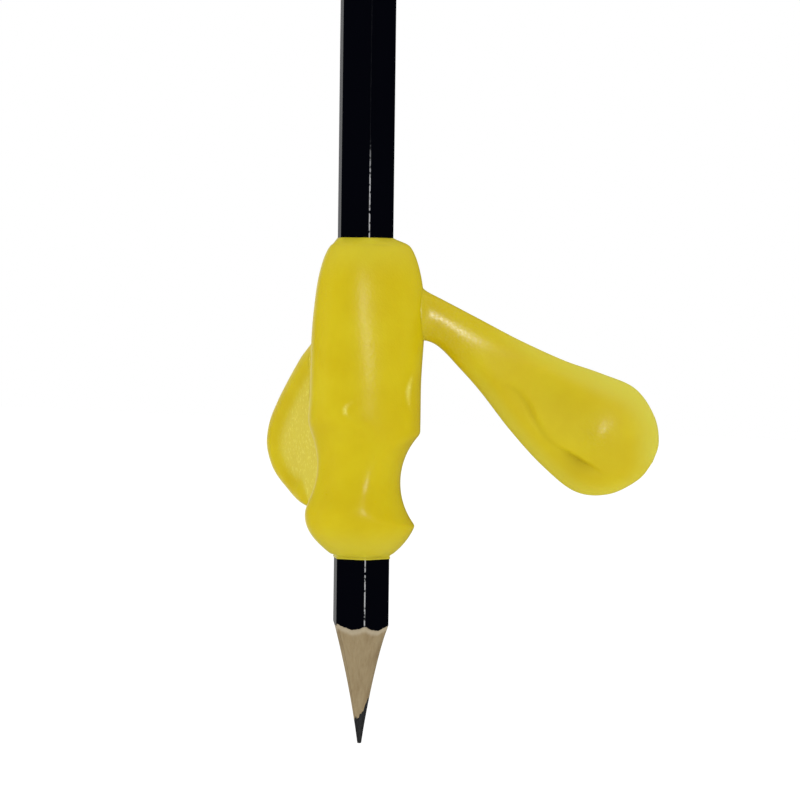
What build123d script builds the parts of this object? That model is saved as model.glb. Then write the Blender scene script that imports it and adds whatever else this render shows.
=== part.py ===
from build123d import *
import math
import os

# Winged rubber grip on a sharpened wooden pencil, in millimetres.
# Z runs up the pencil with the point down. The origin is on the pencil's axis, at the middle of
# the finger hollows. The two wings stand towards +Y, one on each side of it.

# Pencil
PENCIL_LENGTH = 175.0
POINT_BELOW_FINGERS = 34.9
ACROSS_FLATS = 7.0
RIDGE_ROUNDING = 1.7
LACQUER_THICKNESS = 0.1
GLUE_LINE_ANGLE = 73.0
LEAD_DIAMETER = 2.0
LEAD_OFF_CENTRE = 0.2
LEAD_BED = 0.02

# Sharpened point: the cut starts at the worn tip and runs out a little beyond the ridges
TIP_RADIUS = 0.27
POINT_LENGTH = 17.2
POINT_RUN_OUT = 0.3
POINT_HOLLOW = 0.4

# Sleeve of the grip: a barrel that closes to a rim at both ends and leans to +Y at the top
GRIP_TOP = 32.4
GRIP_BOTTOM = -10.4
BARREL_RADIUS = 7.5
TOP_RIM_WALL = 0.85
TOP_DOME = 21.5
TOP_FULLNESS = 2.0
TOP_LEAN = 0.45
BOTTOM_RIM_WALL = 0.4
BOTTOM_DOME = 6.4
BOTTOM_FULLNESS = 1.4
BORE_CLEARANCE = 0.05
DOME_STEPS = 6

# Three finger hollows round the sleeve
HOLLOW_COUNT = 3
HOLLOW_FLOOR = 5.0
HOLLOW_HEIGHT_RADIUS = 9.3
HOLLOW_WRAP_RADIUS = 8.0

# Wings: a round paddle on a neck, with a round root that turns in a socket of the sleeve
WING_SPREAD = 110.0
LEFT_WING_DROOP = 4.5
RIGHT_WING_DROOP = 0.0
WING_THICKNESS = 4.0
WING_EDGE_FLAT = 0.2
HINGE_REACH = 8.4
HINGE_HEIGHT = 22.15
HINGE_CLEARANCE = 0.06
KNUCKLE_RADIUS = 2.2
KNUCKLE_END_FLAT = 0.05
NECK_DEPTH = 6.3
NECK_TOP_BEND = (12.2, -3.05)
NECK_LOWER_BEND = (6.15, -8.45)
NECK_BLEND = 6.0
PADDLE_CENTRE = (22.8, -15.65)
PADDLE_RADIUS = 8.0

# Worked out from the sizes above
TIP = -POINT_BELOW_FINGERS
FRONT_ANGLE = 90.0
RIDGE_RADIUS = (ACROSS_FLATS / 2 - RIDGE_ROUNDING) / math.cos(math.radians(30)) + RIDGE_ROUNDING
BORE_RADIUS = RIDGE_RADIUS + BORE_CLEARANCE
GLUE_DIRECTION = Vector(1, 0, 0).rotate(Axis.Z, GLUE_LINE_ANGLE)
GLUE_PLANE = Plane((0, 0, 0), x_dir=GLUE_DIRECTION, z_dir=GLUE_DIRECTION.cross(Vector(0, 0, 1)))
LEAD_CENTRE = (GLUE_DIRECTION.X * LEAD_OFF_CENTRE, GLUE_DIRECTION.Y * LEAD_OFF_CENTRE)

os.makedirs("parts", exist_ok=True)


def hexagon(growth):
    """The pencil's rounded hexagon, grown outwards on every side, with a ridge on the glue line."""
    with BuildSketch() as section:
        RegularPolygon(ACROSS_FLATS / 2 + growth, 6, major_radius=False, rotation=GLUE_LINE_ANGLE)
        fillet(section.vertices(), RIDGE_ROUNDING + growth)
    return section.sketch


def sharpening_cut():
    """Half section of what the sharpener takes away: all outside a slightly hollow cone."""
    run_out = RIDGE_RADIUS + POINT_RUN_OUT
    middle = ((TIP_RADIUS + run_out) / 2 - POINT_HOLLOW, TIP + POINT_LENGTH / 2)
    with BuildSketch(Plane.XZ) as waste:
        with BuildLine():
            ThreePointArc((TIP_RADIUS, TIP), middle, (run_out, TIP + POINT_LENGTH))
            Polyline((run_out, TIP + POINT_LENGTH), (run_out, TIP), (TIP_RADIUS, TIP))
        make_face()
    return waste.sketch


def make_slat(side):
    """One grooved half of the wooden casing, on one side of the glue line."""
    with BuildPart() as slat:
        with BuildSketch(Plane.XY.offset(TIP)):
            add(hexagon(-LACQUER_THICKNESS))
            with Locations(LEAD_CENTRE):
                Circle(LEAD_DIAMETER / 2 + LEAD_BED, mode=Mode.SUBTRACT)
        extrude(amount=PENCIL_LENGTH)
        revolve(sharpening_cut(), axis=Axis.Z, mode=Mode.SUBTRACT)
        split(bisect_by=GLUE_PLANE, keep=side)
    return slat.part


def dome(rim_radius, fullness, turn):
    """Point on a dome's outline, as its share of the dome's height and its radius at that turn."""
    power = 2 / fullness
    rise = 1 - math.cos(math.radians(turn)) ** power
    radius = rim_radius + (BARREL_RADIUS - rim_radius) * math.sin(math.radians(turn)) ** power
    return rise, radius


def sleeve_stations():
    """Height, radius and lean of each round section of the sleeve, from the bottom up."""
    turns = [90 * step / DOME_STEPS for step in range(DOME_STEPS + 1)]
    lean_start = GRIP_TOP - TOP_DOME
    stations = []
    for turn in turns:
        rise, radius = dome(BORE_RADIUS + BOTTOM_RIM_WALL, BOTTOM_FULLNESS, turn)
        stations.append((GRIP_BOTTOM + BOTTOM_DOME * rise, radius, 0))
    for turn in reversed(turns):
        rise, radius = dome(BORE_RADIUS + TOP_RIM_WALL, TOP_FULLNESS, turn)
        height = GRIP_TOP - TOP_DOME * rise
        share = (height - lean_start) / TOP_DOME
        stations.append((height, radius, TOP_LEAN * share * share * (3 - 2 * share)))
    return stations


def wing_plane(azimuth, droop=0):
    """Upright plane of a wing, its origin on the hinge and X outwards, tipped down by the droop."""
    up = Vector(0, 0, 1)
    outwards = Vector(1, 0, 0).rotate(Axis.Z, azimuth)
    across = outwards.cross(up)
    along = outwards.rotate(Axis((0, 0, 0), across), -droop)
    return Plane(outwards * HINGE_REACH + up * HINGE_HEIGHT, x_dir=along, z_dir=across)


def hinge_axis(azimuth):
    """Upright axis that a wing turns about."""
    return Axis(wing_plane(azimuth).origin, (0, 0, 1))


def knuckle_section(azimuth, growth):
    """Half section of a wing's round root, or of the socket that it turns in, beside the hinge axis."""
    radius = KNUCKLE_RADIUS + growth
    with BuildSketch(wing_plane(azimuth)) as half:
        with Locations((radius / 2, 0)):
            Rectangle(radius, NECK_DEPTH + 2 * growth)
        fillet(half.vertices().group_by(Axis.X)[-1], radius - KNUCKLE_END_FLAT)
    return half.sketch


def paddle_point(turn):
    """Point on the paddle's round rim."""
    angle = math.radians(turn)
    return (
        PADDLE_CENTRE[0] + PADDLE_RADIUS * math.cos(angle),
        PADDLE_CENTRE[1] + PADDLE_RADIUS * math.sin(angle),
    )


def paddle_tangent(point, side):
    """Turn, in degrees, at which a line from the point touches the paddle's rim on one side."""
    across = point[0] - PADDLE_CENTRE[0]
    up = point[1] - PADDLE_CENTRE[1]
    swing = math.acos(PADDLE_RADIUS / math.hypot(across, up))
    return math.degrees(math.atan2(up, across) + side * swing)


def make_wing(azimuth, droop):
    """A flat paddle with rounded edges on its neck, and the knuckle that it turns on."""
    hanging = wing_plane(azimuth, droop)
    upper = paddle_tangent(NECK_TOP_BEND, -1)
    lower = paddle_tangent(NECK_LOWER_BEND, 1)
    tip = (upper + lower) / 2 + 180
    with BuildPart() as wing:
        with BuildSketch(hanging) as outline:
            with BuildLine():
                Polyline(
                    paddle_point(lower),
                    NECK_LOWER_BEND,
                    (0, -NECK_DEPTH / 2),
                    (0, NECK_DEPTH / 2),
                    NECK_TOP_BEND,
                    paddle_point(upper),
                )
                ThreePointArc(paddle_point(upper), paddle_point(tip), paddle_point(lower))
            make_face()
            for bend in (NECK_TOP_BEND, NECK_LOWER_BEND):
                fillet(outline.vertices().sort_by_distance(bend)[0], NECK_BLEND)
        extrude(amount=WING_THICKNESS / 2, both=True)
        rim = wing.faces().filter_by(hanging).edges()
        rim = rim.filter_by(lambda edge: hanging.to_local_coords(edge.center()).X > KNUCKLE_RADIUS / 2)
        fillet(rim, WING_THICKNESS / 2 - WING_EDGE_FLAT)
        revolve(knuckle_section(azimuth, 0), axis=hinge_axis(azimuth))
    return wing.part


# Soft sleeve with its hexagonal bore, finger hollows and wing sockets
with BuildPart() as grip_sleeve:
    for height, radius, lean in sleeve_stations():
        with BuildSketch(Plane.XY.offset(height)):
            with Locations((0, lean)):
                Circle(radius)
    loft()
    with BuildSketch(Plane.XY.offset(GRIP_BOTTOM)):
        add(hexagon(BORE_CLEARANCE))
    extrude(amount=GRIP_TOP - GRIP_BOTTOM, mode=Mode.SUBTRACT)
    with PolarLocations(HOLLOW_WRAP_RADIUS - HOLLOW_FLOOR, HOLLOW_COUNT, start_angle=FRONT_ANGLE):
        Torus(HOLLOW_WRAP_RADIUS + HOLLOW_HEIGHT_RADIUS, HOLLOW_HEIGHT_RADIUS, mode=Mode.SUBTRACT)
    for azimuth in (FRONT_ANGLE - WING_SPREAD / 2, FRONT_ANGLE + WING_SPREAD / 2):
        socket = knuckle_section(azimuth, HINGE_CLEARANCE)
        revolve(socket, axis=hinge_axis(azimuth), mode=Mode.SUBTRACT)
grip_sleeve.part.label = "grip_sleeve"
export_step(grip_sleeve.part, "parts/grip_sleeve.step")

# The two wings
right_wing = make_wing(FRONT_ANGLE - WING_SPREAD / 2, RIGHT_WING_DROOP)
right_wing.label = "right_wing"
export_step(right_wing, "parts/right_wing.step")

left_wing = make_wing(FRONT_ANGLE + WING_SPREAD / 2, LEFT_WING_DROOP)
left_wing.label = "left_wing"
export_step(left_wing, "parts/left_wing.step")

# Wooden casing, two halves glued along opposite ridges
left_slat = make_slat(Keep.BOTTOM)
left_slat.label = "left_slat"
export_step(left_slat, "parts/left_slat.step")

right_slat = make_slat(Keep.TOP)
right_slat.label = "right_slat"
export_step(right_slat, "parts/right_slat.step")

# Graphite core, cut to the same point
with BuildPart() as graphite_core:
    with BuildSketch(Plane.XY.offset(TIP)):
        with Locations(LEAD_CENTRE):
            Circle(LEAD_DIAMETER / 2)
    extrude(amount=PENCIL_LENGTH)
    revolve(sharpening_cut(), axis=Axis.Z, mode=Mode.SUBTRACT)
graphite_core.part.label = "graphite_core"
export_step(graphite_core.part, "parts/graphite_core.step")

# Lacquer skin over the six flats
with BuildPart() as lacquer_coat:
    with BuildSketch(Plane.XY.offset(TIP)):
        add(hexagon(0))
        add(hexagon(-LACQUER_THICKNESS), mode=Mode.SUBTRACT)
    extrude(amount=PENCIL_LENGTH)
    revolve(sharpening_cut(), axis=Axis.Z, mode=Mode.SUBTRACT)
lacquer_coat.part.label = "lacquer_coat"
export_step(lacquer_coat.part, "parts/lacquer_coat.step")
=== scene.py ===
import math

import bpy
import numpy as np
from bpy.props import FloatProperty, FloatVectorProperty, PointerProperty
from mathutils import Matrix, Vector


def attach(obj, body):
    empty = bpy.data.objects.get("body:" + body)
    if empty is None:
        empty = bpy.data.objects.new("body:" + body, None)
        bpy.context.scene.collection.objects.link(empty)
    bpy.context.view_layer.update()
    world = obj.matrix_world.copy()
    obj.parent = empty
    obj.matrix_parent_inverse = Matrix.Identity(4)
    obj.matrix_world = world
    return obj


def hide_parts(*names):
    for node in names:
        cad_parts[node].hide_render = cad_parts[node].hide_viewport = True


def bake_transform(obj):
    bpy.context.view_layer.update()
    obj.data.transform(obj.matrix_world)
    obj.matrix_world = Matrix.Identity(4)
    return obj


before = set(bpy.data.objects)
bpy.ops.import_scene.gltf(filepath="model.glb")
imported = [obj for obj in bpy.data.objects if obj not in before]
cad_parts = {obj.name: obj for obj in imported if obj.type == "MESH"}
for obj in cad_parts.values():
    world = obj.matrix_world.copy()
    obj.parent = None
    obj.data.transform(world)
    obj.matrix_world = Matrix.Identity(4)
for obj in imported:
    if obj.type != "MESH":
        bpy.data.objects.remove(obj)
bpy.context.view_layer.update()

bl_info = {
    "name": "Winged pencil grip",
    "version": (1, 0, 0),
    "blender": (4, 5, 0),
    "location": "3D View > Sidebar > Pencil grip",
    "description": "Builds a soft winged grip on a sharpened wooden pencil, piece by piece",
    "category": "Add Mesh",
}

MM = 0.001

# Each wing's upper and lower edge, pair by pair from the root to the tip, as (distance out from the
# neck's bend, height above it) in millimetres.
RIGHT_EDGES = (
    ((-1.5, 3.85), (-1.5, -2.9)),
    ((2.0, 2.15), (1.3, -3.95)),
    ((7.1, -0.45), (4.4, -7.0)),
    ((12.2, -3.05), (7.2, -10.1)),
    ((18.1, -5.65), (11.2, -15.15)),
    ((23.0, -7.3), (15.5, -19.75)),
    ((27.6, -9.25), (19.9, -23.1)),
    ((30.2, -12.8), (24.3, -23.4)),
    ((30.9, -16.3), (28.2, -21.45)),
    ((30.15, -19.0), (30.15, -19.0)),
)
LEFT_EDGES = (
    ((-1.5, 3.7), (-1.5, -2.7)),
    ((2.2, 1.6), (1.2, -4.6)),
    ((6.5, -1.1), (2.6, -9.0)),
    ((11.0, -3.7), (3.2, -14.4)),
    ((15.6, -6.2), (3.5, -20.2)),
    ((20.2, -8.95), (6.2, -25.7)),
    ((24.8, -12.0), (12.2, -27.0)),
    ((28.3, -14.95), (19.2, -25.3)),
    ((29.7, -18.2), (24.5, -23.4)),
    ((28.6, -21.1), (28.6, -21.1)),
)
# The fold between the right wing's tube and its lower flange, as (distance along the wing, distance from
# its middle line) in millimetres.
CREASE = (
    (9, -3.7),
    (12.5, -2.0),
    (15, -1.2),
    (17, -1.7),
    (20, -3.2),
    (22.6, -4.05),
    (26, -3.8),
    (29, -3.55),
    (31, -3.5),
)
# The finger hollows: direction in degrees, then height, floor, upright radius and edge softness in
# millimetres.
HOLLOWS = ((30, 0.0, 5.03, 9.3, 0.12), (150, 1.2, 5.45, 9.3, 0.25), (255, 2.4, 5.7, 10.0, 0.3))
# Small nicks in the barrel: direction in degrees, then height, width, tallness and depth in millimetres.
NICKS = ((356, 12.3, 0.4, 1.5, -0.2), (287, 9.9, 0.3, 0.7, 0.14))
# The lower lip's bead, as (height above the lip's end, distance from the bore) in millimetres.
LIP_BEAD = ((0.0, 0.03), (0.04, 0.08), (0.12, 0.1), (0.2, 0.08), (0.25, 0.03), (0.3, 0.02), (0.42, 0.06))
# The sharpened cone: its slope at the tip, and how fast it grows steeper, for each metre of height.
CONE_SLOPE = 0.135
CONE_CURVE = 4.5
# The lamps: name, place to the right of the grip, above it and towards the camera, width and height, all in
# metres, then power in watts, and whether the lamp gives the sheen or the plain light.
LAMPS = (
    ("sheen lamp", 0.117, 0.13, 0.55, 0.035, 0.12, 1.4, True),
    ("left lamp", -0.6, 0.08, 0.0, 0.3, 0.5, 0.87, False),
    ("top lamp", 0.1, 0.7, -0.1, 0.5, 0.4, 0.8, False),
    ("low lamp", 0.25, -0.12, 0.45, 0.4, 0.2, 0.7, False),
)
# Cosines of the angle from the glow's direction at which reflections begin to see it and see it whole.
GLOW_EDGE = (0.965, 0.99)


def length(name, description, default):
    """A size in metres for the panel."""
    return FloatProperty(name=name, description=description, default=default, unit="LENGTH", precision=5)


def angle(name, description, degrees):
    """An angle for the panel."""
    return FloatProperty(name=name, description=description, default=math.radians(degrees), subtype="ANGLE")


def colour(name, description, default):
    """A linear colour for the panel."""
    return FloatVectorProperty(
        name=name, description=description, default=default, size=3, min=0, max=1, subtype="COLOR"
    )


def fraction(name, description, default):
    """A share from 0 to 1 for the panel."""
    return FloatProperty(name=name, description=description, default=default, min=0, max=1, subtype="FACTOR")


class SleeveSizes(bpy.types.PropertyGroup):
    """The barrel's sizes"""

    top: length("Top", "Height of the upper rim at the pencil", 0.03235)
    shoulder: length("Shoulder", "Height of the upper rim's outer edge", 0.03155)
    bottom: length("Bottom", "Height of the lower lip", -0.01012)
    belly: length("Belly", "Radius of the barrel", 0.00761)
    top_radius: length("Top radius", "Mean radius of the upper rim's outer edge", 0.00495)
    top_dome: length("Top dome", "Height over which the barrel narrows to the upper rim", 0.019)
    lip_radius: length("Lip radius", "Radius of the barrel just above the lower lip", 0.0041)
    bottom_dome: length("Bottom dome", "Height over which the barrel narrows to the lower lip", 0.00622)
    wing_swell: length("Wing swell", "How far the upper barrel swells towards the wings", 0.0005)
    wing_lobes: length("Wing lobes", "How far the upper barrel swells at each wing root", 0.00039)
    hollow_wrap: length("Hollow wrap", "Level radius of a finger hollow", 0.008)


class WingSizes(bpy.types.PropertyGroup):
    """The sizes that both wings share"""

    spread: angle("Spread", "Angle between the two wings", 110)
    hinge_reach: length("Hinge reach", "Distance of the neck's bend from the axis", 0.0084)
    hinge_height: length("Hinge height", "Height of the neck's bend", 0.02215)
    slope: angle("Slope", "Angle of the wing's middle line below the level", 34.47)
    half_thickness: length("Half thickness", "Half the wing's thickness", 0.002)
    rim: length("Rim", "Width of the right petal's rounded rim", 0.0032)
    rolled_rim: length("Rolled rim", "Width of the left petal's rounded rim", 0.0028)
    flange_step: length("Flange step", "How far the right wing's lower flange lies below its tube", 0.00014)
    inset: length("Inset", "How far the left wing's face lies below its rolled rim", 0.0006)


class PencilSizes(bpy.types.PropertyGroup):
    """The pencil's sizes"""

    tip: length("Tip", "Height of the worn point", -0.0349)
    end: length("End", "Height of the plain cut end", 0.1401)
    across_flats: length("Across flats", "Width of the hexagon", 0.007)
    rounding: length("Rounding", "Radius of the hexagon's ridges", 0.00065)
    coat: length("Coat", "Thickness of the lacquer", 0.0001)
    ridge_turn: angle("Ridge turn", "Direction of one ridge, on which the casing's halves meet", 73)
    tip_radius: length("Tip radius", "Radius of the worn point", 0.00027)
    paint_border: length("Paint border", "Height of the lacquer's border on a flat", -0.0193)
    lead_radius: length("Lead radius", "Radius of the graphite core", 0.001)
    lead_offset: length("Lead offset", "How far the core lies off the axis", 0.0002)


class Finishes(bpy.types.PropertyGroup):
    """The colours of the finishes"""

    rubber: colour("Rubber", "Yellow of the moulded rubber", (0.62, 0.475, 0.002))
    rubber_pale: colour("Pale rubber", "Paler yellow where the rubber is mottled", (0.655, 0.525, 0.006))
    # Painted light: a paler, greener yellow along the wings' edges and towards the sleeve's ends, where light
    # falls and shines through.
    rubber_thin: colour("Painted light rubber", "Greener yellow of the thin edges", (0.65, 0.585, 0.06))
    # Painted sheen: pale flecks on the left wing's face, and painted highlights on the barrel's nicks.
    rubber_frosted: colour("Painted sheen rubber", "Pale flecks on the left wing", (0.78, 0.68, 0.11))
    # Painted shade: deeper yellow in the right wing's pocket, dish and fold line, and beside the left wing's
    # bead.
    rubber_painted_shade: colour("Deep rubber", "Deeper yellow in the right wing's pocket", (0.44, 0.32, 0.001))
    wood: colour("Wood", "Bare wood", (0.335, 0.258, 0.142))
    wood_pale: colour("Pale wood", "Scraped wood under the lacquer's border", (0.5, 0.43, 0.31))
    wood_dark: colour("Dark wood", "Late wood in the grain", (0.25, 0.178, 0.088))
    glue: colour("Glue", "Line between the casing's halves", (0.12, 0.075, 0.03))
    graphite: colour("Graphite", "Sharpened graphite", (0.017, 0.017, 0.0175))
    graphite_pale: colour("Pale graphite", "Flecks in the graphite", (0.03, 0.03, 0.031))
    lacquer: colour("Lacquer", "Black lacquer", (0.0012, 0.0014, 0.003))
    # Painted highlight: the pale line along the lacquer's ridge that faces the camera.
    lacquer_ridge_highlight: colour("Painted ridge highlight", "Painted highlight along one ridge", (0.42, 0.42, 0.43))


class StageSettings(bpy.types.PropertyGroup):
    """The camera, the floor and the surroundings"""

    turn: angle("Turn", "Direction of the camera round the grip", 35)
    pitch: angle("Pitch", "Height of the camera above the level", 2)
    roll: angle("Roll", "How far the pencil leans to the right", 0.74)
    distance: length("Distance", "Distance from the camera to the grip", 0.4)
    aim_right: length("Aim right", "How far the picture's middle lies to the right of the pencil", 0.00485)
    aim_height: length("Aim height", "Height of the picture's middle", 0.01093)
    view_width: length("View width", "Width of the picture at the grip", 0.10624)
    floor: length("Floor", "Height of the floor, below the pencil's lowest place", -0.15)
    glow_turn: angle("Glow turn", "How far the glow behind the grip lies to the left", 16)
    ambient: fraction("Ambient", "Strength of the surroundings' light on the grip", 0.845)


class GripSettings(bpy.types.PropertyGroup):
    """All the settings in their groups"""

    sleeve: PointerProperty(type=SleeveSizes)
    wings: PointerProperty(type=WingSizes)
    pencil: PointerProperty(type=PencilSizes)
    finishes: PointerProperty(type=Finishes)
    stage: PointerProperty(type=StageSettings)


class Wire:
    """A shader socket that takes part in arithmetic. Each operator adds a Math node."""

    def __init__(self, tree, socket=None):
        self.tree = tree
        self.socket = socket

    def node(self, kind, settings=None, inputs=None, output=0):
        """Adds any node: its type, its settings, its socket values or links, and the output to go on from."""
        node = self.tree.nodes.new(kind)
        for name, value in (settings or {}).items():
            setattr(node, name, value)
        for name, value in (inputs or {}).items():
            if isinstance(value, Wire):
                self.tree.links.new(value.socket, node.inputs[name])
            else:
                node.inputs[name].default_value = value
        return Wire(self.tree, node.outputs[output] if len(node.outputs) else None)

    def maths(self, operation, first, second=0.0):
        """One Math node on two values."""
        return self.node("ShaderNodeMath", {"operation": operation}, {0: first, 1: second})

    def __add__(self, other):
        return self.maths("ADD", self, other)

    def __radd__(self, other):
        return self.maths("ADD", other, self)

    def __sub__(self, other):
        return self.maths("SUBTRACT", self, other)

    def __rsub__(self, other):
        return self.maths("SUBTRACT", other, self)

    def __mul__(self, other):
        return self.maths("MULTIPLY", self, other)

    def __rmul__(self, other):
        return self.maths("MULTIPLY", other, self)

    def __truediv__(self, other):
        return self.maths("DIVIDE", self, other)

    def __rtruediv__(self, other):
        return self.maths("DIVIDE", other, self)

    def __pow__(self, other):
        return self.maths("POWER", self, other)

    def __rpow__(self, other):
        return self.maths("POWER", other, self)

    def __abs__(self):
        return self.maths("ABSOLUTE", self)

    def ramp(self, low, high):
        """0 below low, 1 above high and a smooth rise between them."""
        return self.node(
            "ShaderNodeMapRange",
            {"interpolation_type": "SMOOTHSTEP"},
            {"Value": self, "From Min": low, "From Max": high},
        )

    def mix(self, first, second):
        """The first colour where this wire is 0 and the second where it is 1."""
        return self.node(
            "ShaderNodeMix",
            {"data_type": "RGBA"},
            {0: self, 6: opaque(first), 7: opaque(second)},
            output=2,
        )

    def place(self):
        """The point on the object, in metres."""
        return self.node("ShaderNodeTexCoord", output=3)

    def scaled(self, across, along):
        """This vector scaled across and along the pencil, for a texture that is drawn out."""
        return self.node(
            "ShaderNodeVectorMath",
            {"operation": "MULTIPLY"},
            {0: self, 1: (across, across, along)},
        )

    def noise(self, scale, detail=2.0, roughness=0.5):
        """Noise from 0 to 1 at this vector."""
        return self.node(
            "ShaderNodeTexNoise",
            None,
            {"Vector": self, "Scale": scale, "Detail": detail, "Roughness": roughness},
        )

    def bump(self, height, distance, strength=1.0):
        """The surface direction over a height from 0 to 1 that stands for distance."""
        return self.node(
            "ShaderNodeBump", None, {"Height": height, "Distance": distance, "Strength": strength}
        )

    def parts(self):
        """The three parts of this vector."""
        split = self.node("ShaderNodeSeparateXYZ", None, {0: self}).socket.node
        return tuple(Wire(self.tree, output) for output in split.outputs)


def opaque(value):
    """A colour with its alpha, or a wire as it is."""
    return value if isinstance(value, Wire) else (*value, 1.0)


def material(name, paint):
    """A material whose shader takes the socket values that paint works out."""
    made = bpy.data.materials.new(name)
    made.use_nodes = True
    made.node_tree.nodes.clear()
    start = Wire(made.node_tree)
    shader = start.node("ShaderNodeBsdfPrincipled", None, paint(start))
    start.node("ShaderNodeOutputMaterial", None, {"Surface": shader})
    return made


def rubber_material(finishes):
    """Satin yellow rubber: pebbled by the mould, a little mottled and polished where fingers hold it. The
    pieces' marks paint shade in a deeper yellow, paint a pale flecked sheen, paint a paler, greener light
    along edges and towards the sleeve's ends, make it shinier, or make it smoother but duller."""

    def paint(start):
        place = start.place()
        x, y, z = place.parts()
        from_axis = (x * x + y * y) ** 0.5
        painted_shade, frosted, thin, gloss, petal = (
            start.node("ShaderNodeAttribute", {"attribute_name": name}, output="Fac")
            for name in ("painted_shade", "frosted", "thin", "gloss", "petal")
        )
        held = (1 - abs(z).ramp(0.004, 0.009)) * (1 - from_axis.ramp(0.0068, 0.0076))
        pebbles = place.noise(2500, 2.0, 0.6)
        grit = place.noise(3000, 1.0, 0.5).ramp(0.42, 0.68)
        sparks = place.noise(2000, 1.0, 0.5).ramp(0.54, 0.7)
        patches = place.noise(160, 3.0, 0.55)
        tint = patches.ramp(0.3, 0.75)
        mottled = tint.mix(finishes.rubber, finishes.rubber_pale)
        # Painted light along the edges and towards the sleeve's ends.
        edged = (thin * 0.8).mix(mottled, finishes.rubber_thin)
        # Painted sheen: pale flecks on the left wing's face and painted highlights on the nicks.
        flecked = (frosted * (0.4 + 0.6 * sparks)).mix(edged, finishes.rubber_frosted)
        height = (pebbles + 0.35 * place.noise(700, 1.0)) * (0.6 + 0.6 * gloss + 0.4 * frosted - 0.3 * petal)
        return {
            # Painted shade in a deeper yellow, which is also rougher there.
            "Base Color": (painted_shade * 0.7).mix(flecked, finishes.rubber_painted_shade),
            "Roughness": 0.27 + 0.1 * pebbles + 0.05 * patches + 0.22 * petal + 0.2 * painted_shade - 0.05 * held,
            "Coat Weight": gloss * (0.3 + 0.5 * grit),
            "Coat Roughness": 0.31,
            "Specular IOR Level": 0.17,
            "Subsurface Weight": 0.2,
            "Subsurface Radius": (0.8, 0.55, 0.08),
            "Subsurface Scale": 0.002,
            "Normal": start.bump(height, 0.00006, 0.8),
        }

    return material("Moulded yellow rubber", paint)


def wood_material(finishes, sizes, name, shift):
    """Sharpened softwood: grain along the pencil, blade marks round the point, and a narrow glue line."""
    across = (-math.sin(sizes.ridge_turn), math.cos(sizes.ridge_turn))

    def paint(start):
        place = start.place()
        x, y, _ = place.parts()
        grain = place.scaled(1.0, 0.03).noise(3600 + shift, 3.0, 0.6)
        rays = place.scaled(1.0, 0.12).noise(6200, 2.0, 0.5)
        blade = place.scaled(0.03, 1.0).noise(5200, 2.0, 0.6)
        from_glue = abs(x * across[0] + y * across[1])
        glue = 1 - from_glue.ramp(0.00002, 0.00007)
        streaks = place.scaled(1.0, 0.04).noise(620, 2.0, 0.5).ramp(0.42, 0.68)
        border = start.node("ShaderNodeAttribute", {"attribute_name": "border"}, output="Fac")
        smudges = place.scaled(1.0, 0.35).noise(900, 2.0, 0.6).ramp(0.5, 0.72)
        fibres = grain.ramp(0.25, 0.8) * 0.5 + streaks * 0.7 + smudges * 0.35
        bare = fibres.mix(finishes.wood, finishes.wood_dark)
        flecked = (rays.ramp(0.55, 0.8) * 0.35).mix(bare, finishes.wood_dark)
        glued = (glue * 0.6).mix(flecked, finishes.glue)
        return {
            "Base Color": (border * 0.6).mix(glued, finishes.wood_pale),
            "Roughness": 0.62 + 0.2 * grain,
            "Specular IOR Level": 0.25,
            "Normal": start.bump(grain + 0.6 * blade, 0.00004, 0.7),
        }

    return material(name, paint)


def graphite_material(finishes):
    """Sharpened graphite: dull grey with a faint sheen and fine blade marks."""

    def paint(start):
        place = start.place()
        marks = place.scaled(0.05, 1.0).noise(7000, 3.0, 0.6)
        flecks = place.noise(5200, 2.0)
        return {
            "Base Color": flecks.ramp(0.35, 0.8).mix(finishes.graphite, finishes.graphite_pale),
            "Metallic": 0.1,
            "Specular IOR Level": 0.3,
            "Roughness": 0.42 + 0.25 * marks,
            "Normal": start.bump(marks, 0.00003, 0.6),
        }

    return material("Graphite", paint)


def lacquer_material(finishes, sizes):
    """Glossy black lacquer: slight waves from dipping, fine rubbed streaks, and a painted highlight, broken
    in places, along the one ridge that faces the camera.
    """
    # The ridge that faces the camera, which carries the painted highlight.
    highlit_ridge_turn = sizes.ridge_turn + math.radians(240)

    def paint(start):
        place = start.place()
        x, y, z = place.parts()
        from_axis = (x * x + y * y) ** 0.5
        ridge = from_axis.ramp(sizes.across_flats * 0.5619, sizes.across_flats * 0.5628)
        waves = place.scaled(1.0, 0.15).noise(420, 2.0)
        rubbed = place.scaled(1.0, 0.02).noise(5200, 3.0, 0.65)
        on_side = (x * math.cos(highlit_ridge_turn) + y * math.sin(highlit_ridge_turn)).ramp(0.0025, 0.0035)
        # Painted highlight, not wear: a pale broken line along that ridge, fading out higher up.
        worn = ridge * on_side * place.noise(1500, 2.0).ramp(0.36, 0.5) * (1 - z.ramp(0.039, 0.046))
        return {
            "Base Color": worn.mix(finishes.lacquer, finishes.lacquer_ridge_highlight),
            "Roughness": 0.13 + 0.16 * rubbed.ramp(0.45, 0.8) + 0.12 * worn,
            "Specular IOR Level": 0.004,
            "Normal": start.bump(waves, 0.00004, 0.35),
        }

    return material("Black lacquer", paint)


def rise(value, low, high):
    """0 below low, 1 above high and a smooth rise between them."""
    t = np.clip((value - low) / (high - low), 0, 1)
    return t * t * (3 - 2 * t)


def through(knots, at):
    """A smooth curve through the knots: cubic pieces with the mean slope at each knot."""
    x, y = np.array(knots, float).T
    slope = np.gradient(y, x)
    i = np.clip(np.searchsorted(x, at) - 1, 0, len(x) - 2)
    span = x[i + 1] - x[i]
    t = np.clip((at - x[i]) / span, 0, 1)
    rest = 1 - t
    return (
        y[i] * (1 + 2 * t) * rest**2
        + slope[i] * span * t * rest**2
        + y[i + 1] * (3 - 2 * t) * t**2
        - slope[i + 1] * span * t**2 * rest
    )


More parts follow.
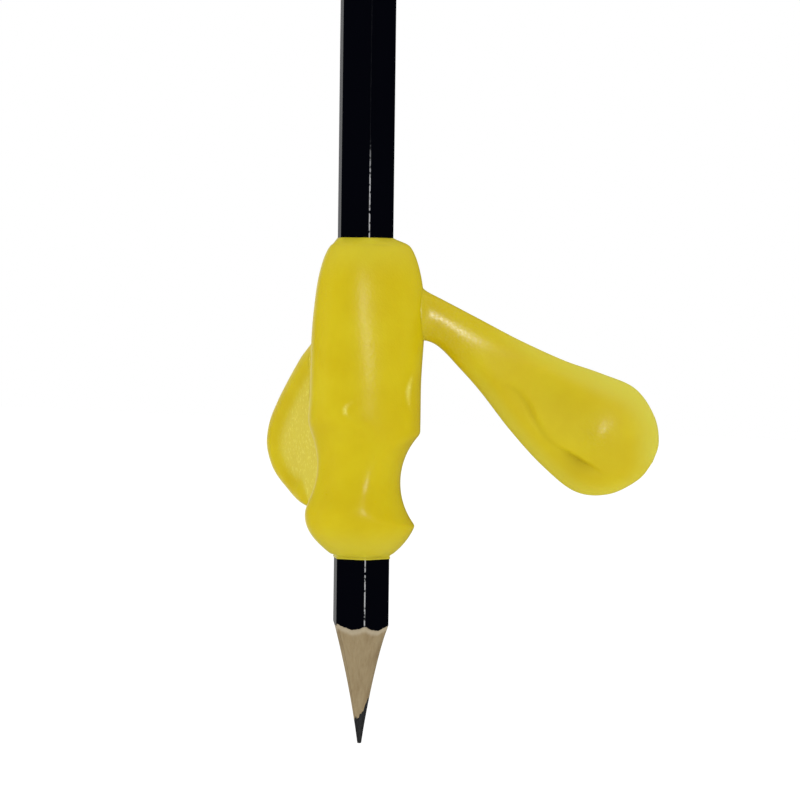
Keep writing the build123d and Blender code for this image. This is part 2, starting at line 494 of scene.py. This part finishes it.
def hexagon(sizes, turn):
    """Distance from the axis to the hexagon: its flats, and an arc about each ridge."""
    flat = sizes.across_flats / 2
    sixth = math.pi / 3
    away = np.abs((turn - sizes.ridge_turn + sixth / 2) % sixth - sixth / 2)
    centre = (flat - sizes.rounding) / math.cos(sixth / 2)
    meets = sixth / 2 - math.atan((flat - sizes.rounding) * math.tan(sixth / 2) / flat)
    depth = np.sqrt(np.maximum(sizes.rounding**2 - (centre * np.sin(away)) ** 2, 0))
    return np.where(away < meets, centre * np.cos(away) + depth, flat / np.cos(sixth / 2 - away))


def cylindrical(radius, turn, height):
    """Points at a distance from the axis, a direction and a height."""
    radius, turn, height = np.broadcast_arrays(radius, turn, height)
    return np.stack((radius * np.cos(turn), radius * np.sin(turn), height), axis=-1)


def surface(name, points, finish, loop_rows=False, sharp=180, **marks):
    """A mesh over a grid of points[row, column] that is closed round each row. Points that meet are joined,
    so a row that shrinks to a point or a line closes the end. Faces are turned outwards by the sign of the
    volume. Each mark is a value for every point, kept as an attribute that the material reads."""
    rows, columns = points.shape[:2]
    index = np.arange(rows * columns).reshape(rows, columns)
    if loop_rows:
        index = np.vstack((index, index[:1]))
    index = np.hstack((index, index[:, :1]))
    a, b, c, d = index[:-1, :-1], index[:-1, 1:], index[1:, 1:], index[1:, :-1]
    faces = np.concatenate((np.stack((a, b, c), -1).reshape(-1, 3), np.stack((a, c, d), -1).reshape(-1, 3)))
    flat = points.reshape(-1, 3)
    _, first, joined = np.unique(np.round(flat / 2e-7), axis=0, return_index=True, return_inverse=True)
    corners = flat[first]
    faces = joined.reshape(-1)[faces]
    whole = (faces[:, 0] != faces[:, 1]) & (faces[:, 1] != faces[:, 2]) & (faces[:, 2] != faces[:, 0])
    faces = faces[whole]
    p, q, r = corners[faces[:, 0]], corners[faces[:, 1]], corners[faces[:, 2]]
    if np.einsum("ij,ij->", p, np.cross(q, r)) < 0:
        faces = faces[:, ::-1]
    mesh = bpy.data.meshes.new(name)
    mesh.vertices.add(len(corners))
    mesh.vertices.foreach_set("co", corners.ravel())
    mesh.loops.add(faces.size)
    mesh.loops.foreach_set("vertex_index", np.ascontiguousarray(faces).ravel())
    mesh.polygons.add(len(faces))
    mesh.polygons.foreach_set("loop_start", np.arange(0, faces.size, 3))
    mesh.update(calc_edges=True)
    mesh.validate()
    mesh.polygons.foreach_set("use_smooth", np.ones(len(mesh.polygons), bool))
    for mark, share in marks.items():
        mesh.attributes.new(mark, "FLOAT", "POINT").data.foreach_set("value", share.ravel()[first])
    if sharp < 180:
        mesh.set_sharp_from_angle(angle=math.radians(sharp))
    mesh.materials.append(finish)
    piece = bpy.data.objects.new(name, mesh)
    bpy.context.scene.collection.objects.link(piece)
    return piece


def finish(name):
    """The named material, made the first time that it is asked for."""
    settings = bpy.context.scene.pencil_grip
    finishes, pencil = settings.finishes, settings.pencil
    makers = {
        "Moulded yellow rubber": lambda: rubber_material(finishes),
        "Left casing wood": lambda: wood_material(finishes, pencil, name, 0),
        "Right casing wood": lambda: wood_material(finishes, pencil, name, 370),
        "Graphite": lambda: graphite_material(finishes),
        "Black lacquer": lambda: lacquer_material(finishes, pencil),
    }
    return bpy.data.materials.get(name) or makers[name]()


def away_from(turn, direction):
    """The angle from a direction in degrees, from minus half a turn to half a turn."""
    return (turn - math.radians(direction) + np.pi) % (2 * np.pi) - np.pi


def barrel(sizes, turn, height):
    """The sleeve's outside before its hollows. The belly narrows to the upper rim along a superellipse and to
    the lower lip along a power of the height. Its upper half swells towards the wings by one wave and three
    waves of the turn. Bell curves make its lower end fuller on one side and its middle slimmer on another."""
    up = np.clip((height - sizes.shoulder + sizes.top_dome) / sizes.top_dome, 0, 1)
    down = np.clip((sizes.bottom + 0.5 * MM + sizes.bottom_dome - height) / sizes.bottom_dome, 0, 1)
    upper = sizes.top_radius + (sizes.belly - sizes.top_radius) * (1 - up**3.4) ** (1 / 1.5)
    lower = (sizes.belly - sizes.lip_radius) * down**2.3
    from_front = turn - np.pi / 2
    swell = sizes.wing_swell * np.cos(from_front) - sizes.wing_lobes * np.cos(3 * from_front)
    fuller = 0.2 * MM * np.cos(turn - 3.75) * np.exp(-(((height + 6.5 * MM) / (2.2 * MM)) ** 2))
    aside = away_from(turn, 215)
    slimmer = 0.5 * MM * np.exp(-((aside / 0.6) ** 2) - ((height - 13 * MM) / (6 * MM)) ** 2)
    return upper - lower + swell * rise(height, 12 * MM, 25 * MM) + fuller - slimmer


def soft_least(first, second, softness):
    """The lesser of two distances, with the edge between them rounded off."""
    return np.minimum(first, second) - softness * np.log1p(np.exp(-np.abs(first - second) / softness))


def nick(sizes, turn, height, direction, level, width, tallness):
    """How far a point lies to the side of a nick's bent line, in widths, and the share of the nick's depth
    that is left there: a bell curve across the line and along it."""
    climb = (height / MM - level) / tallness
    bend = 0.35 * (climb + 0.3) ** 2
    aside = (away_from(turn, direction) * sizes.belly / MM - bend) / width
    return aside, np.exp(-(aside**2) - climb**2)


def hollowed(sizes, turn, height):
    """The sleeve's outside. Each finger hollow is the inner side of a ring that lies round a point beyond the
    axis, and a soft minimum joins it to what is there, softer towards its two ends. Each nick lowers one side
    of its line and raises the other."""
    outside = barrel(sizes, turn, height)
    for direction, level, floor, upright, softness in HOLLOWS:
        away = away_from(turn, direction)
        climb = np.sqrt(np.maximum(upright**2 - (height / MM - level) ** 2, 0)) * MM
        ring = sizes.hollow_wrap + upright * MM - climb
        shift = sizes.hollow_wrap - floor * MM
        cut = np.sqrt(ring**2 - (shift * np.sin(away)) ** 2) - shift * np.cos(away)
        outside = soft_least(outside, cut, (softness + 0.12 * rise(np.abs(away), 0.4, 1.1)) * MM)
    for direction, level, width, tallness, depth in NICKS:
        aside, fade = nick(sizes, turn, height, direction, level, width, tallness)
        outside = outside - depth * MM * aside * fade
    return outside


def make_sleeve(settings):
    """The sleeve as one closed skin: up its outside, over the slanting crown, down the hexagonal bore and
    round the beaded lower lip. Each row is a closed curve of distances from the axis over the turn."""
    sizes = settings.sleeve
    turn = np.linspace(0, 2 * np.pi, 336, endpoint=False)
    bore = hexagon(settings.pencil, turn) + 0.03 * MM
    height = np.concatenate(
        (
            np.linspace(sizes.bottom + 0.6 * MM, -3 * MM, 36, endpoint=False),
            np.linspace(-3 * MM, 10 * MM, 52, endpoint=False),
            np.linspace(10 * MM, 26 * MM, 40, endpoint=False),
            np.linspace(26 * MM, sizes.shoulder, 34),
        )
    )[:, None]
    outside = np.maximum(hollowed(sizes, turn, height), bore + 0.06 * MM)
    inwards = np.array((0.02, 0.06, 0.15, 0.3, 0.5, 0.7, 0.86, 0.95))[:, None]
    crown = outside[-1] + (bore - outside[-1]) * inwards
    crown_height = sizes.shoulder + (sizes.top - sizes.shoulder) * inwards**0.85
    down = np.linspace(sizes.top, sizes.bottom, 20)[:, None]
    lip = np.array(LIP_BEAD) * MM
    points = np.concatenate(
        (
            cylindrical(outside, turn, height),
            cylindrical(crown, turn, crown_height),
            cylindrical(bore, turn, down),
            cylindrical(bore + lip[:, 1:], turn, sizes.bottom + lip[:, :1]),
        )
    )
    # Painted light: paler, greener yellow towards the upper shoulder and the lower end.
    thin = 0.4 * rise(points[..., 2], 26 * MM, 32 * MM) + 0.5 - 0.5 * rise(points[..., 2], -9 * MM, -5 * MM)
    # Painted highlight along each nick's line, in the pale flecked sheen colour.
    painted_nick_highlight = 1.8 * sum(nick(sizes, turn, points[..., 2], *row[:4])[1] for row in NICKS)
    return surface(
        "sleeve_skin",
        points,
        finish("Moulded yellow rubber"),
        loop_rows=True,
        sharp=60,
        thin=thin,
        frosted=painted_nick_highlight,
    )


def wing_points(sizes, edges, azimuth, outer_side, folds):
    """A wing as rows between two edges, from an upright root inside the sleeve to the tip. The half thickness
    over a point follows its share of the way in from the rim: an ellipse round the neck and a fuller curve on
    the petal. The right wing's outer face falls away and steps down below its fold, with a pocket under it
    and a low mound beside it. The left one's is sunk inside a rolled rim, with a slanting bead near the neck.
    The inner face is dished. The marks tell the rubber where its painted shade, painted sheen and painted
    edge light lie, and where it is shinier or duller."""
    round_ = np.linspace(0, 2 * np.pi, 240, endpoint=False)
    side = np.cos(round_)
    part = 1 - (1 - np.linspace(0, 1, 220)[:, None]) ** 1.5
    knots = np.linspace(0, 1, len(edges))
    table = np.array(edges)
    upper, lower = (
        np.stack([through(np.column_stack((knots, table[:, k, axis])), part) for axis in (0, 1)], -1)
        for k in (0, 1)
    )
    upper[..., 1] += 0.3 * np.exp(-np.maximum(upper[..., 0] + 0.8, 0) / 0.35)
    lower[..., 1] -= 0.2 * np.exp(-np.maximum(lower[..., 0] + 0.8, 0) / 0.35)
    middle, half = (upper + lower) / 2, (upper - lower) / 2
    place = middle + half * side[:, None]
    width = np.linalg.norm(half, axis=-1)
    to_side = width * (1 - np.abs(side))
    to_tip = np.linalg.norm(middle - middle[-1:], axis=-1)
    from_rim = to_side * to_tip / np.maximum(np.hypot(to_side, to_tip), 1e-9)
    out, up = place[..., 0], place[..., 1]
    s = out * math.cos(sizes.slope) - up * math.sin(sizes.slope)
    w = out * math.sin(sizes.slope) + up * math.cos(sizes.slope)
    petal = rise(s, 5, 15)
    rim = (sizes.rim if folds else sizes.rolled_rim) / MM
    inwards = np.clip(from_rim / (width + (rim - width) * petal), 0, 1)
    pillow = np.sqrt(1 - (1 - inwards) ** (2 + 0.5 * petal))
    flare = 0.4 * MM * np.exp(-np.maximum(out + 0.76, 0) / 0.5)
    thick = sizes.half_thickness + flare
    below = through(CREASE, s) - w
    step = sizes.flange_step * rise(below, -1.0, 1.5) * rise(s, 9, 13) * (1 - rise(s, 26, 31))
    pocket = np.exp(-(((s - 27.0) / 2.3) ** 2) - np.maximum(below, 0) / 1.5)
    pocket = 0.75 * MM * rise(below, -0.05, 0.3) * pocket
    dent = 0.2 * MM * np.exp(-(((s - 18.5) / 2.2) ** 2) - ((below - 0.1) / 0.5) ** 2)
    # A line along the fold, used only for painted shade.
    line = np.exp(-(((below - 0.15) / 0.4) ** 2)) * rise(s, 12, 16) * (1 - rise(s, 21, 26))
    dish = 0.35 * MM * np.exp(-(((s - 21) / 5) ** 2) - ((w - 1.0) / 3) ** 2)
    mound = 0.42 * MM * np.exp(-(((s - 27.5) / 1.9) ** 2) - ((w - 0.2) / 2.2) ** 2)
    fall = 0.04 * MM * np.maximum(3 - w, 0) * rise(s, 12, 20)
    folded = step + pocket + dent + dish + fall - mound
    to_roll = to_side + 6 * (side < 0) * (1 - rise(out, 8, 14))
    from_roll = to_roll * to_tip / np.maximum(np.hypot(to_roll, to_tip), 1e-9)
    sunk = sizes.inset * rise(from_roll, 2.6, 4.6) * rise(s, 8, 14)
    hollow = 0.7 * MM * np.exp(-(((s - 26) / 7) ** 2) - (w / 4.5) ** 2)
    seam = rise(-up, 5.0, 6.2) * (1 - rise(-up, 11.4, 12.8))
    from_seam = out + 0.2 * up - 6.5
    bead = 0.45 * MM * np.exp(-((from_seam / 0.35) ** 2)) * seam
    # Painted shade lines on either side of the bead, and a painted highlight along its crest.
    far_side = 0.75 * np.exp(-(((from_seam - 1.45) / 0.4) ** 2))
    near_side = 0.7 * np.exp(-(((from_seam + 0.5) / 0.2) ** 2))
    beside = (far_side + near_side) * seam
    crest = np.exp(-((from_seam / 0.25) ** 2)) * seam
    apart = rise(from_seam + 7 * rise(-up, 10.5, 17), 0, 2.5)
    outer = (thick - (folded if folds else sunk - bead)) * pillow
    inner = (hollow - thick) * pillow
    on_face = np.sin(round_) >= 0
    lift = np.where(on_face, outer, inner)
    outwards = np.array((math.cos(azimuth), math.sin(azimuth), 0))
    facing = outer_side * np.array((math.sin(azimuth), -math.cos(azimuth), 0))
    upwards = np.array((0, 0, 1))
    hinge = sizes.hinge_reach * outwards + sizes.hinge_height * upwards
    points = out[..., None] * MM * outwards + up[..., None] * MM * upwards + lift[..., None] * facing
    root = points[:1].mean(axis=1, keepdims=True) + 0 * points[:1]
    # The painted edge light is wider and stronger on the upper side towards the tip, where the light falls.
    tip_side = rise(s, 15, 26) * rise(side, -0.5, 0.5)
    # Painted shade: deeper yellow in the pocket, the dish and along the fold's line.
    painted_pocket_shade = pocket / pocket.max() + 0.25 * dish / dish.max() + 0.38 * line
    # Painted sheen: pale flecks on the left wing's sunk face, with a painted highlight along the bead's
    # crest.
    pale = rise(from_roll, 3.6, 5.8) * rise(s, 9, 14) * apart + crest
    # The marks: painted shade, painted sheen, dullness on the petal, painted edge light, and gloss.
    marks = {
        "painted_shade": on_face * (painted_pocket_shade if folds else beside),
        "frosted": (1 - folds) * on_face * pale,
        "petal": folds * (petal - 0.8 * mound / mound.max()),
        "thin": folds * (1 - rise(from_rim, 0.3, 2.4 + 1.4 * tip_side)) * petal * (0.75 + 0.5 * tip_side),
        "gloss": folds * (1 - rise(s, 4, 10) + 0.7 * mound / mound.max()),
    }
    marks = {name: np.concatenate((share[:1], share)) for name, share in marks.items()}
    return hinge + np.concatenate((root, points)), hinge, outwards, marks


def make_wing(settings, name, body, edges, azimuth, outer_side, folds):
    """One wing with its neck between the sleeve and the wing's own body, standing for the wing's node, which
    it hides.
    """
    points, hinge, outwards, marks = wing_points(settings.wings, edges, azimuth, outer_side, folds)
    piece = surface(name, points, finish("Moulded yellow rubber"), **marks)
    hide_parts(body)
    hinge - 0.2 * MM * outwards
    hinge + 4 * MM * outwards
    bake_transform(piece)
    return piece


def point_radius(sizes, climb):
    """Radius of the sharpened point at a height above its tip: a slightly hollow cone."""
    return sizes.tip_radius + CONE_SLOPE * climb + CONE_CURVE * climb**2


def lead_edge(sizes, turn):
    """Distance from the axis to the rim of the core, which lies off the axis, and the height above the tip at
    which the sharpened point meets that rim, with the ragged line that a blade leaves."""
    along = sizes.lead_offset * np.cos(turn - sizes.ridge_turn)
    edge = along + np.sqrt(sizes.lead_radius**2 - sizes.lead_offset**2 + along**2)
    ragged = 0.07 * np.cos(turn - sizes.ridge_turn) + 0.035 * np.sin(3 * turn + 0.6)
    ragged = ragged + 0.03 * np.sin(8 * turn + 2.0)
    higher_side = 0.13 * np.exp(1.2 * np.cos(turn - 0.6) - 1.2)
    edge = edge * (1 + ragged + higher_side + 0.02 * np.sin(19 * turn))
    reach = edge - sizes.tip_radius
    climb = (np.sqrt(CONE_SLOPE**2 + 4 * CONE_CURVE * reach) - CONE_SLOPE) / (2 * CONE_CURVE)
    return edge, climb


def paint_border(sizes, turn):
    """Height of the lacquer's lower border: a shallow scallop on each flat, lower on one side, with chips."""
    rise_on_ridge = hexagon(sizes, turn) - sizes.across_flats / 2
    chips = 0.05 * np.sin(7 * turn + 0.4) + 0.035 * np.sin(17 * turn + 2.0) + 0.02 * np.sin(41 * turn + 1.0)
    lower_side = 0.1 - 0.3 * np.cos(turn + 0.3)
    return sizes.paint_border + rise_on_ridge + (lower_side + chips) * MM


def make_core(sizes):
    """The graphite core: worn flat tip, sharpened cone up to the wood and a round rod to the cut end."""
    turn = np.linspace(0, 2 * np.pi, 240, endpoint=False)
    edge, climb = lead_edge(sizes, turn)
    part = np.linspace(0, 1, 40)[:, None]
    worn = np.array((0.0, 0.5, 0.85, 0.97))[:, None]
    rod = np.array((0.3, 1.0))[:, None]
    cone_height = sizes.tip + 0.06 * MM + (climb - 0.06 * MM) * part
    points = np.concatenate(
        (
            cylindrical(sizes.tip_radius * worn, turn, sizes.tip + 0.05 * MM * worn**4),
            cylindrical(point_radius(sizes, climb * part), turn, cone_height),
            cylindrical(edge, turn, sizes.tip + climb + (sizes.end - sizes.tip - climb) * rod),
            cylindrical(np.zeros((1, 1)), turn, sizes.end),
        )
    )
    return surface("graphite_lead", points, finish("Graphite"), sharp=50)


def make_slat(sizes, name, start, wood):
    """Half of the casing: a sharpened cone from the core to the lacquer, then half a hexagon to the cut end,
    with a half-round groove for the core. Each row runs along the outside and back along the groove."""
    turn = np.linspace(start, start + np.pi, 121)
    edge, low = lead_edge(sizes, turn)
    wall = hexagon(sizes, turn) - sizes.coat
    high = paint_border(sizes, turn) - sizes.tip - 0.3 * MM
    part = np.linspace(0, 1, 64)[:, None]
    climb = low + (high - low) * part
    cone = point_radius(sizes, climb)
    cone = edge + (cone - cone[:1]) + (wall - edge - cone[-1:] + cone[:1]) * part**5
    outer = np.concatenate((cone, [wall, wall, (wall + edge) / 2]))
    level = np.concatenate((sizes.tip + climb, [0 * turn, 0 * turn + sizes.end, 0 * turn + sizes.end]))
    inner = np.concatenate((edge + 0 * cone, [edge, edge, (wall + edge) / 2]))
    groove = cylindrical(inner, turn, level)[:, ::-1]
    points = np.concatenate((cylindrical(outer, turn, level), groove), axis=1)
    border = np.concatenate((rise(part, 0.94, 0.99), np.zeros((3, 1)))) + 0 * points[..., 0]
    return surface(name, points, finish(wood), sharp=40, border=border)


def make_lacquer(sizes):
    """The lacquer: up the hexagon from its chipped border, over the cut end and down inside on the wood."""
    turn = np.linspace(0, 2 * np.pi, 360, endpoint=False)
    wall = hexagon(sizes, turn)
    low = paint_border(sizes, turn)
    part = np.linspace(0, 1, 60)[:, None] ** 2
    points = np.concatenate(
        (
            cylindrical(wall, turn, low + (sizes.end - low) * part),
            cylindrical(wall - sizes.coat, turn, low - 0.3 * MM + (sizes.end - low + 0.3 * MM) * part[::-6]),
        )
    )
    return surface("lacquer_skin", points, finish("Black lacquer"), loop_rows=True, sharp=40)


def on_pencil(piece, node):
    """The piece stands for its node and slides with the pencil."""
    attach(piece, "pencil")
    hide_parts(node)


class PENCILGRIP_OT_sleeve(bpy.types.Operator):
    """Make the soft barrel with its finger hollows, rims and bore"""

    bl_idname = "pencilgrip.sleeve"
    bl_label = "Sleeve"

    def execute(self, context):
        piece = make_sleeve(context.scene.pencil_grip)
        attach(piece, "grip")
        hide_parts("grip_sleeve")
        return {"FINISHED"}


class PENCILGRIP_OT_wings(bpy.types.Operator):
    """Make the two petal-shaped wings with their necks"""

    bl_idname = "pencilgrip.wings"
    bl_label = "Wings"

    def execute(self, context):
        settings = context.scene.pencil_grip
        half = settings.wings.spread / 2
        make_wing(settings, "right_wing_skin", "right_wing", RIGHT_EDGES, math.pi / 2 - half, 1, True)
        make_wing(settings, "left_wing_skin", "left_wing", LEFT_EDGES, math.pi / 2 + half, -1, False)
        return {"FINISHED"}


class PENCILGRIP_OT_casing(bpy.types.Operator):
    """Make the two wooden halves of the pencil's casing"""

    bl_idname = "pencilgrip.casing"
    bl_label = "Wooden casing"

    def execute(self, context):
        sizes = context.scene.pencil_grip.pencil
        left = make_slat(sizes, "left_casing", sizes.ridge_turn, "Left casing wood")
        right = make_slat(sizes, "right_casing", sizes.ridge_turn + math.pi, "Right casing wood")
        on_pencil(left, "left_slat")
        on_pencil(right, "right_slat")
        return {"FINISHED"}


class PENCILGRIP_OT_core(bpy.types.Operator):
    """Make the graphite core with its worn point"""

    bl_idname = "pencilgrip.core"
    bl_label = "Graphite core"

    def execute(self, context):
        on_pencil(make_core(context.scene.pencil_grip.pencil), "graphite_core")
        return {"FINISHED"}


class PENCILGRIP_OT_lacquer(bpy.types.Operator):
    """Make the lacquer over the six flats"""

    bl_idname = "pencilgrip.lacquer"
    bl_label = "Lacquer"

    def execute(self, context):
        on_pencil(make_lacquer(context.scene.pencil_grip.pencil), "lacquer_coat")
        return {"FINISHED"}


def lookout(start):
    """1 for rays from the camera, reflections and clear materials, which see the surroundings as white."""
    path = start.node("ShaderNodeLightPath").socket.node
    camera, glossy, clear = (
        Wire(start.tree, path.outputs[name])
        for name in ("Is Camera Ray", "Is Glossy Ray", "Is Transmission Ray")
    )
    return start.maths("MINIMUM", camera + glossy + clear, 1.0)


def glow_direction(stage):
    """The level direction behind the grip and a little to the left from which reflections see light."""
    turn = stage.turn + stage.glow_turn
    return (-math.sin(turn), math.cos(turn), 0)


def make_floor(stage):
    """A wide level sheet, as a grid of two by two points, that shows white and keeps the grip's shadow.
    Reflections see it dim, but for its far end behind the grip."""
    edge = np.array((-3.0, 3.0))
    x, y = np.meshgrid(edge, edge)
    corners = np.stack((x, y, 0 * x + stage.floor), -1).reshape(-1, 3)
    mesh = bpy.data.meshes.new("floor")
    mesh.from_pydata(corners.tolist(), [], [(0, 1, 3, 2)])
    paper = bpy.data.materials.new("White paper")
    paper.use_nodes = True
    paper.node_tree.nodes.clear()
    start = Wire(paper.node_tree)
    lit = start.node("ShaderNodeBsdfDiffuse", None, {"Color": (0.9, 0.9, 0.9, 1)})
    mirrored = start.node("ShaderNodeLightPath", output="Is Glossy Ray")
    across, along, _ = start.place().parts()
    far = (across * across + along * along) ** 0.5
    glow_x, glow_y, _ = glow_direction(stage)
    ahead = (across * glow_x + along * glow_y) / far
    behind = ahead.ramp(*GLOW_EDGE) * far.ramp(0.3, 0.6)
    glow = (mirrored * (1 - 0.8 * behind)).mix((1, 1, 1), (0.1, 0.1, 0.1))
    white = start.node("ShaderNodeEmission", None, {"Color": glow, "Strength": 1.14})
    share = lookout(start) * (0.8 + 0.2 * mirrored)
    shown = start.node("ShaderNodeMixShader", None, {0: share, 1: lit, 2: white})
    start.node("ShaderNodeOutputMaterial", None, {"Surface": shown})
    mesh.materials.append(paper)
    floor = bpy.data.objects.new("floor", mesh)
    bpy.context.scene.collection.objects.link(floor)


def make_surroundings(stage):
    """Plain white surroundings that light the grip evenly. Reflections see them dim, but for a narrow glow
    behind the grip."""
    world = bpy.data.worlds.new("White surroundings")
    world.use_nodes = True
    world.node_tree.nodes.clear()
    start = Wire(world.node_tree)
    ahead = start.node(
        "ShaderNodeVectorMath",
        {"operation": "DOT_PRODUCT"},
        {0: start.node("ShaderNodeTexCoord", output=0), 1: glow_direction(stage)},
        output=1,
    )
    mirrored = start.node("ShaderNodeLightPath", output="Is Glossy Ray")
    dimmed = 1 - mirrored * (0.95 - 0.78 * ahead.ramp(*GLOW_EDGE))
    strength = stage.ambient + (1 - stage.ambient) * lookout(start)
    shown = start.node("ShaderNodeBackground", None, {"Color": (1, 1, 1, 1), "Strength": strength * dimmed})
    start.node("ShaderNodeOutputWorld", None, {"Surface": shown})
    bpy.context.scene.world = world


def make_softbox(stage, name, right, up, back, width, height, energy, sheen):
    """A soft rectangular lamp, placed as the camera sees it: to the right of the grip, above it and back
    towards the camera. It gives either the sheen or the plain light."""
    across = Vector((math.cos(stage.turn), math.sin(stage.turn), 0))
    towards = Vector((math.sin(stage.turn), -math.cos(stage.turn), 0))
    lamp = bpy.data.lights.new(name, "AREA")
    lamp.shape = "RECTANGLE"
    lamp.size, lamp.size_y, lamp.energy = width, height, energy
    softbox = bpy.data.objects.new(name, lamp)
    softbox.location = right * across + up * Vector((0, 0, 1)) + back * towards
    softbox.rotation_mode = "QUATERNION"
    aim = Vector((0, 0, stage.aim_height)) - softbox.location
    softbox.rotation_quaternion = aim.to_track_quat("-Z", "Y")
    softbox.visible_glossy = sheen
    softbox.visible_diffuse = not sheen
    bpy.context.scene.collection.objects.link(softbox)


def make_camera(stage):
    """A long lens aimed beside the pencil, rolled so that the pencil leans a little to the right."""
    level = Vector((math.cos(stage.turn), math.sin(stage.turn), 0))
    towards = Vector((math.sin(stage.turn), -math.cos(stage.turn), 0))
    back = math.cos(stage.pitch) * towards + math.sin(stage.pitch) * Vector((0, 0, 1))
    upright = back.cross(level)
    right = math.cos(stage.roll) * level + math.sin(stage.roll) * upright
    up = back.cross(right)
    aim = stage.aim_right * level + Vector((0, 0, stage.aim_height))
    place = aim + stage.distance * back
    lens = bpy.data.cameras.new("camera")
    lens.sensor_width = 36
    lens.lens = 36 * stage.distance / stage.view_width
    lens.clip_start, lens.clip_end = 0.01, 20
    camera = bpy.data.objects.new("camera", lens)
    camera.matrix_world = Matrix(
        (
            (right.x, up.x, back.x, place.x),
            (right.y, up.y, back.y, place.y),
            (right.z, up.z, back.z, place.z),
            (0, 0, 0, 1),
        )
    )
    bpy.context.scene.collection.objects.link(camera)
    bpy.context.scene.camera = camera


class PENCILGRIP_OT_stage(bpy.types.Operator):
    """Make the floor, the white surroundings, the lamps and the camera"""

    bl_idname = "pencilgrip.stage"
    bl_label = "Stage"

    def execute(self, context):
        stage = context.scene.pencil_grip.stage
        make_floor(stage)
        make_surroundings(stage)
        for lamp in LAMPS:
            make_softbox(stage, *lamp)
        make_camera(stage)
        context.scene.view_settings.view_transform = "Standard"
        return {"FINISHED"}


class PENCILGRIP_PT_panel(bpy.types.Panel):
    """The sizes, the colours and a button for each piece"""

    bl_idname = "PENCILGRIP_PT_panel"
    bl_label = "Pencil grip"
    bl_space_type = "VIEW_3D"
    bl_region_type = "UI"
    bl_category = "Pencil grip"

    def draw(self, context):
        settings = context.scene.pencil_grip
        for operator in OPERATORS:
            self.layout.operator(operator.bl_idname)
        for group in (settings.sleeve, settings.wings, settings.pencil, settings.finishes, settings.stage):
            column = self.layout.column()
            for name in type(group).__annotations__:
                column.prop(group, name)


OPERATORS = (
    PENCILGRIP_OT_sleeve,
    PENCILGRIP_OT_wings,
    PENCILGRIP_OT_casing,
    PENCILGRIP_OT_core,
    PENCILGRIP_OT_lacquer,
    PENCILGRIP_OT_stage,
)
CLASSES = (
    SleeveSizes,
    WingSizes,
    PencilSizes,
    Finishes,
    StageSettings,
    GripSettings,
    *OPERATORS,
    PENCILGRIP_PT_panel,
)


def register():
    """Makes the settings, the operators and the panel known to Blender."""
    for one in CLASSES:
        bpy.utils.register_class(one)
    bpy.types.Scene.pencil_grip = PointerProperty(type=GripSettings)


def unregister():
    """Takes them away again."""
    del bpy.types.Scene.pencil_grip
    for one in reversed(CLASSES):
        bpy.utils.unregister_class(one)


def main():
    """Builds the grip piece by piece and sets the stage."""
    register()
    bpy.ops.pencilgrip.sleeve()
    bpy.ops.pencilgrip.wings()
    bpy.ops.pencilgrip.casing()
    bpy.ops.pencilgrip.core()
    bpy.ops.pencilgrip.lacquer()
    bpy.ops.pencilgrip.stage()


if __name__ == "__main__":
    main()
